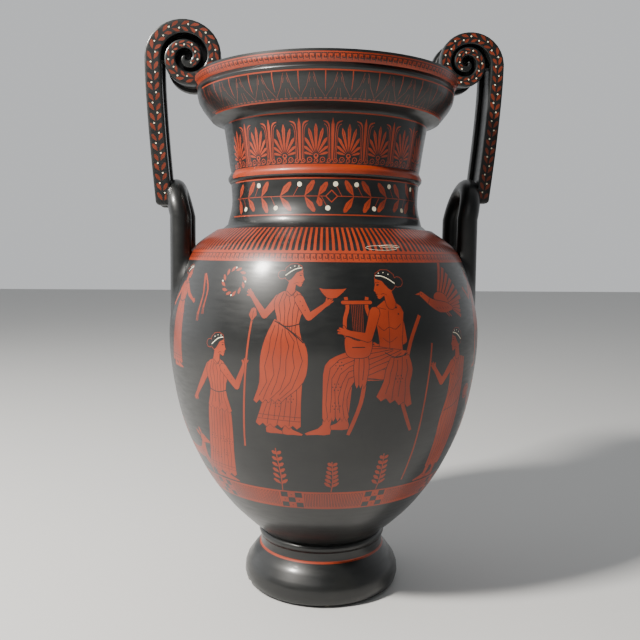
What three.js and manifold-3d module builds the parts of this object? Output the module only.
// A red-figure volute krater: one fired and glazed ceramic piece, hollow and open at the mouth.
// Millimetres, +Z up. The foot rests on z = 0, the axis is x = y = 0, the handles stand at -X and +X,
// and the front of the painting faces -Y.

import * as THREE from "three";
import { mergeVertices } from "three/addons/utils/BufferGeometryUtils.js";
import Module from "manifold-3d";

// ---------------------------------------------------------------- driving dimensions

const TURN_SEGMENTS = 56;
const BODY_STEPS = 16;
const INSIDE_STEPS = 12;

// Foot: a hollow ring with a round cushion, then a collar under the body.
const REST_INNER_RADIUS = 58;
const REST_OUTER_RADIUS = 72;
const CUSHION_RADIUS = 79.2;
const CUSHION_TOP = 39.6;
const CUSHION_MIDDLE = 12;
const CAVITY_TOP_RADIUS = 44;
const CAVITY_TOP = 48;
const COLLAR_RADIUS = 63;
const COLLAR_BEAD_RADIUS = 64.6;
const COLLAR_BEAD_MIDDLE = 52;
const BODY_START_RADIUS = 61.5;
const BODY_START = 57;

// Body: radius and height where the outline is steered.
const BODY_STEERS = [
  [61.5, 57],
  [79, 72],
  [101, 96],
  [124.3, 132.5],
  [144, 182],
  [154.2, 247],
  [149.7, 293],
  [133, 338],
  [107.5, 359.3],
];

// Neck: a fillet at its foot, a narrow lower part, a plain torus and a flared upper part.
const NECK_FOOT_RADIUS = 95.4;
const NECK_FOOT = 370.3;
const NECK_WAIST_RADIUS = 92.5;
const TORUS_RADIUS = 96.4;
const TORUS_BOTTOM = 403.6;
const TORUS_TOP = 415.2;
const TORUS_SEAT_RADIUS = 94;
const NECK_TOP_RADIUS = 100.4;
const NECK_TOP = 459;

// Rim: a hollow moulding, a round moulding, a bead and a flat fascia with a round lip.
const OVOLO_BOTTOM_RADIUS = 112.6;
const OVOLO_BOTTOM = 465.4;
const OVOLO_TOP_RADIUS = 126;
const OVOLO_TOP = 488.6;
const BEAD_RADIUS = 127.4;
const FASCIA_BOTTOM = 494.6;
const RIM_RADIUS = 129;
const RIM_TOP = 506;
const LIP_WIDTH = 5.5;

// Inside: radius and height where the hollow is steered, from its floor to the lip.
const FLOOR = 60;
const INSIDE_STEERS = [
  [40, 61],
  [71, 76],
  [94, 101],
  [117, 136.5],
  [136.6, 184],
  [146.6, 247],
  [142.2, 291],
  [127.3, 332.5],
  [103.5, 352],
  [87.5, 368],
  [85, 388],
  [88.2, 432],
  [96, 460],
  [112, 484],
];

// Handles: a strap with a flange on its front and back edges, rolled into a volute at the top.
const STRAP_DEPTH = 45;
const FLANGE_DEPTH = 9;
const WEB_RECESS = 3.5;
const EYE_WEB_DEPTH = 14;
const SPIRAL_STEPS_PER_QUARTER = 4;
const STRAP_END_ROUNDING = 4;

// Each handle was formed by hand, so the two differ by a few millimetres. Radii and widths are
// those of the band at each quarter of a turn, from the strap over the top and in to the eye.
const LEFT_HANDLE = {
  side: -1,
  eye: [135, 520.5],
  radii: [39, 35, 32.5, 25.5, 20.5, 16.5, 14.5, 9.5, 4.5],
  widths: [15.5, 13, 13, 12.5, 10.5, 8.5, 9, 7, 4.5],
  strapEnd: [165, 381.5],
  strapEndWidth: 15.5,
  legX: 141,
  crest: [147, 398.5],
};
const RIGHT_HANDLE = {
  side: 1,
  eye: [137, 524],
  radii: [37, 29.5, 27, 22.5, 18, 15.5, 13, 8.5, 4],
  widths: [13.5, 11.5, 11, 10, 9.5, 8.5, 8, 6, 4],
  strapEnd: [163, 388],
  strapEndWidth: 13.5,
  legX: 139.5,
  crest: [146, 404],
};

// Root of a handle: a round loop like an upturned U, standing across the shoulder.
const LEG_RADIUS = 9.8;
const LEG_SPREAD = 28;
const LEG_TOP = 372;
const LEG_BOTTOM = 266;
const LEG_SIDES = 10;
const ARCH_STEPS = 8;
const LOOP_STEPS = 20;
const LEG_SINK = 3.5;

// ---------------------------------------------------------------- helpers

const wasm = await Module();
wasm.setup();

const point = (radius, height) => new THREE.Vector2(radius, height);

function smoothCurve(steers, steps) {
  return new THREE.SplineCurve(steers.map(([x, y]) => point(x, y))).getPoints(steps);
}

// The foot's cushion draws in from its widest ring to the collar along a parabola.
function cushionOutline(steps) {
  const points = [];
  for (let i = 0; i <= steps; i += 1) {
    const rise = i / steps;
    const radius = CUSHION_RADIUS - (CUSHION_RADIUS - COLLAR_RADIUS) * rise * rise;
    points.push(point(radius, CUSHION_MIDDLE + (CUSHION_TOP - CUSHION_MIDDLE) * rise));
  }
  return points;
}

function lathe(points) {
  const geometry = new THREE.LatheGeometry(points, TURN_SEGMENTS);
  return geometry.rotateX(Math.PI / 2);
}

// A flat outline in the X-Z plane, given depth along Y between two planes.
function slab(outline, nearY, farY) {
  const shape = new THREE.Shape(outline);
  const geometry = new THREE.ExtrudeGeometry(shape, { depth: farY - nearY, bevelEnabled: false });
  return geometry.rotateX(Math.PI / 2).translate(0, farY, 0);
}

function toSolid(geometry) {
  const bare = geometry.clone();
  bare.deleteAttribute("normal");
  bare.deleteAttribute("uv");
  const merged = mergeVertices(bare, 1e-4);
  const corners = merged.index.array;
  const kept = [];
  for (let i = 0; i < corners.length; i += 3) {
    const [a, b, c] = corners.slice(i, i + 3);
    if (a !== b && b !== c && c !== a) {
      kept.push(a, b, c);
    }
  }
  const mesh = new wasm.Mesh({
    numProp: 3,
    vertProperties: new Float32Array(merged.attributes.position.array),
    triVerts: new Uint32Array(kept),
  });
  return new wasm.Manifold(mesh);
}

function toGeometry(solid) {
  const mesh = solid.getMesh();
  const geometry = new THREE.BufferGeometry();
  geometry.setAttribute("position", new THREE.BufferAttribute(mesh.vertProperties, 3));
  geometry.setIndex(new THREE.BufferAttribute(mesh.triVerts, 1));
  geometry.computeVertexNormals();
  return geometry;
}

// ---------------------------------------------------------------- the turned vessel

function footOutline() {
  return [
    point(0, CAVITY_TOP),
    point(CAVITY_TOP_RADIUS, CAVITY_TOP),
    point(REST_INNER_RADIUS, 0),
    point(REST_OUTER_RADIUS, 0),
    point(CUSHION_RADIUS - 2.4, 3.2),
    ...cushionOutline(4),
    point(COLLAR_RADIUS, COLLAR_BEAD_MIDDLE - 5),
    point(COLLAR_BEAD_RADIUS, COLLAR_BEAD_MIDDLE),
    point(COLLAR_BEAD_RADIUS - 0.8, BODY_START - 1.2),
    point(BODY_START_RADIUS, BODY_START - 0.6),
  ];
}

function neckOutline() {
  const torusMiddle = (TORUS_BOTTOM + TORUS_TOP) / 2;
  return [
    point(NECK_FOOT_RADIUS + 5, NECK_FOOT - 8),
    point(NECK_FOOT_RADIUS, NECK_FOOT),
    point(NECK_WAIST_RADIUS, NECK_FOOT + 13),
    point(NECK_WAIST_RADIUS + 1, TORUS_BOTTOM),
    point(TORUS_RADIUS - 0.8, torusMiddle - 3),
    point(TORUS_RADIUS - 0.8, torusMiddle + 3),
    point(TORUS_SEAT_RADIUS, TORUS_TOP),
    point(TORUS_SEAT_RADIUS + 2.7, TORUS_TOP + 21),
    point(NECK_TOP_RADIUS, NECK_TOP),
  ];
}

function rimOutline() {
  return [
    point((NECK_TOP_RADIUS + OVOLO_BOTTOM_RADIUS) / 2 - 1, OVOLO_BOTTOM - 1.8),
    point(OVOLO_BOTTOM_RADIUS, OVOLO_BOTTOM),
    point(OVOLO_BOTTOM_RADIUS + 7.6, OVOLO_BOTTOM + 9),
    point(OVOLO_TOP_RADIUS, OVOLO_TOP),
    point(BEAD_RADIUS, OVOLO_TOP + 3),
    point(BEAD_RADIUS, FASCIA_BOTTOM),
    point(RIM_RADIUS, FASCIA_BOTTOM + 0.6),
    point(RIM_RADIUS, RIM_TOP - 1.6),
    point(RIM_RADIUS - 1.6, RIM_TOP),
    point(RIM_RADIUS - LIP_WIDTH, RIM_TOP),
  ];
}

function insideOutline() {
  return [...smoothCurve(INSIDE_STEERS, INSIDE_STEPS).reverse(), point(0, FLOOR)];
}

function makeVessel() {
  const body = smoothCurve(BODY_STEERS, BODY_STEPS).slice(1);
  return toSolid(lathe([...footOutline(), ...body, ...neckOutline(), ...rimOutline(), ...insideOutline()]));
}

// ---------------------------------------------------------------- the handles

// A value between listed quarter-turn values, on a smooth curve through them.
function atQuarter(values, quarter) {
  const curve = new THREE.SplineCurve(values.map((value, i) => point(i, value)));
  return curve.getPoint(quarter / (values.length - 1)).y;
}

// Outer or inner edge of the rolled band; inset moves both edges in towards its middle.
function spiralEdge(handle, inset, inner) {
  const last = handle.radii.length - 1;
  const points = [];
  for (let i = 0; i <= last * SPIRAL_STEPS_PER_QUARTER; i += 1) {
    const quarter = i / SPIRAL_STEPS_PER_QUARTER;
    const width = atQuarter(handle.widths, quarter);
    const inward = inner ? Math.max(width - inset, width / 2) : Math.min(inset, width / 2);
    const radius = atQuarter(handle.radii, quarter) - inward;
    const angle = quarter * (Math.PI / 2);
    const x = handle.eye[0] + radius * Math.cos(angle);
    const z = handle.eye[1] + radius * Math.sin(angle);
    points.push(point(handle.side * x, z));
  }
  return points;
}

// The strap's edge from its lower end up to where the volute starts, bending in as it drops.
function strapEdge(handle, distanceIn, lowEnd) {
  const top = point(handle.eye[0] + handle.radii[0] - distanceIn, handle.eye[1]);
  const bend = point(top.x, top.y - 42);
  const low = point(handle.strapEnd[0] - distanceIn, lowEnd);
  const curve = new THREE.QuadraticBezierCurve(low, bend, top);
  return curve.getPoints(5).slice(0, -1).map((p) => point(handle.side * p.x, p.y));
}

function bandOutline(handle, inset) {
  const [endX, endZ] = handle.strapEnd;
  const width = handle.strapEndWidth;
  const rounding = STRAP_END_ROUNDING;
  const outerLow = handle.side * (endX - inset - rounding);
  return [
    point(handle.side * (endX - width + inset + 1), endZ),
    point(outerLow, endZ),
    ...strapEdge(handle, inset, endZ + rounding),
    ...spiralEdge(handle, inset, false),
    ...spiralEdge(handle, inset, true).reverse(),
    ...strapEdge(handle, width - inset, endZ + rounding).reverse(),
  ];
}

// A solid round web behind the rolled band closes the gaps between its turns.
function eyeWebOutline(handle) {
  return spiralEdge(handle, WEB_RECESS, false).slice(0, 4 * SPIRAL_STEPS_PER_QUARTER + 1);
}

function rootLoop(handle) {
  const path = new THREE.CurvePath();
  const steps = [];
  const foot = (sign) => new THREE.Vector3(handle.side * handle.legX, sign * LEG_SPREAD, LEG_BOTTOM);
  steps.push(foot(-1));
  for (let i = 0; i <= ARCH_STEPS; i += 1) {
    const angle = (i / ARCH_STEPS) * Math.PI;
    const rise = Math.sin(angle);
    const x = handle.legX + (handle.crest[0] - handle.legX) * rise;
    const z = LEG_TOP + (handle.crest[1] - LEG_TOP) * rise;
    steps.push(new THREE.Vector3(handle.side * x, -LEG_SPREAD * Math.cos(angle), z));
  }
  steps.push(foot(1));
  for (let i = 1; i < steps.length; i += 1) {
    path.add(new THREE.LineCurve3(steps[i - 1], steps[i]));
  }
  return path;
}

function makeRoot(handle, bodyCore) {
  const path = rootLoop(handle);
  const section = new THREE.Shape();
  for (let i = 0; i < LEG_SIDES; i += 1) {
    const angle = (i / LEG_SIDES) * 2 * Math.PI;
    const method = i === 0 ? "moveTo" : "lineTo";
    section[method](LEG_RADIUS * Math.cos(angle), LEG_RADIUS * Math.sin(angle));
  }
  const settings = { extrudePath: path, steps: LOOP_STEPS, bevelEnabled: false };
  return toSolid(new THREE.ExtrudeGeometry(section, settings)).subtract(bodyCore);
}

function makeHandle(handle, bodyCore) {
  const half = STRAP_DEPTH / 2;
  const flange = bandOutline(handle, 0);
  const front = toSolid(slab(flange, -half, FLANGE_DEPTH - half));
  const back = toSolid(slab(flange, half - FLANGE_DEPTH, half));
  const web = toSolid(slab(bandOutline(handle, WEB_RECESS), 1 - half, half - 1));
  const eyeWeb = toSolid(slab(eyeWebOutline(handle), -EYE_WEB_DEPTH / 2, EYE_WEB_DEPTH / 2));
  return front.add(back).add(web).add(eyeWeb).add(makeRoot(handle, bodyCore));
}

// The body's volume just under its skin: the loops' legs end there, inside the wall.
function makeBodyCore() {
  const skin = smoothCurve(BODY_STEERS, BODY_STEPS).map((p) => point(p.x - LEG_SINK, p.y));
  const low = skin[0].y;
  const high = skin[skin.length - 1].y;
  return toSolid(lathe([point(0, low), ...skin, point(0, high)]));
}

// ---------------------------------------------------------------- the finished piece

const bodyCore = makeBodyCore();
const krater = makeVessel()
  .add(makeHandle(LEFT_HANDLE, bodyCore))
  .add(makeHandle(RIGHT_HANDLE, bodyCore));

const blackGlaze = new THREE.MeshStandardMaterial({ color: 0x23262a, roughness: 0.32, metalness: 0 });
const mesh = new THREE.Mesh(toGeometry(krater), blackGlaze);
mesh.name = "krater";

const model = new THREE.Group();
model.add(mesh);

export default model;
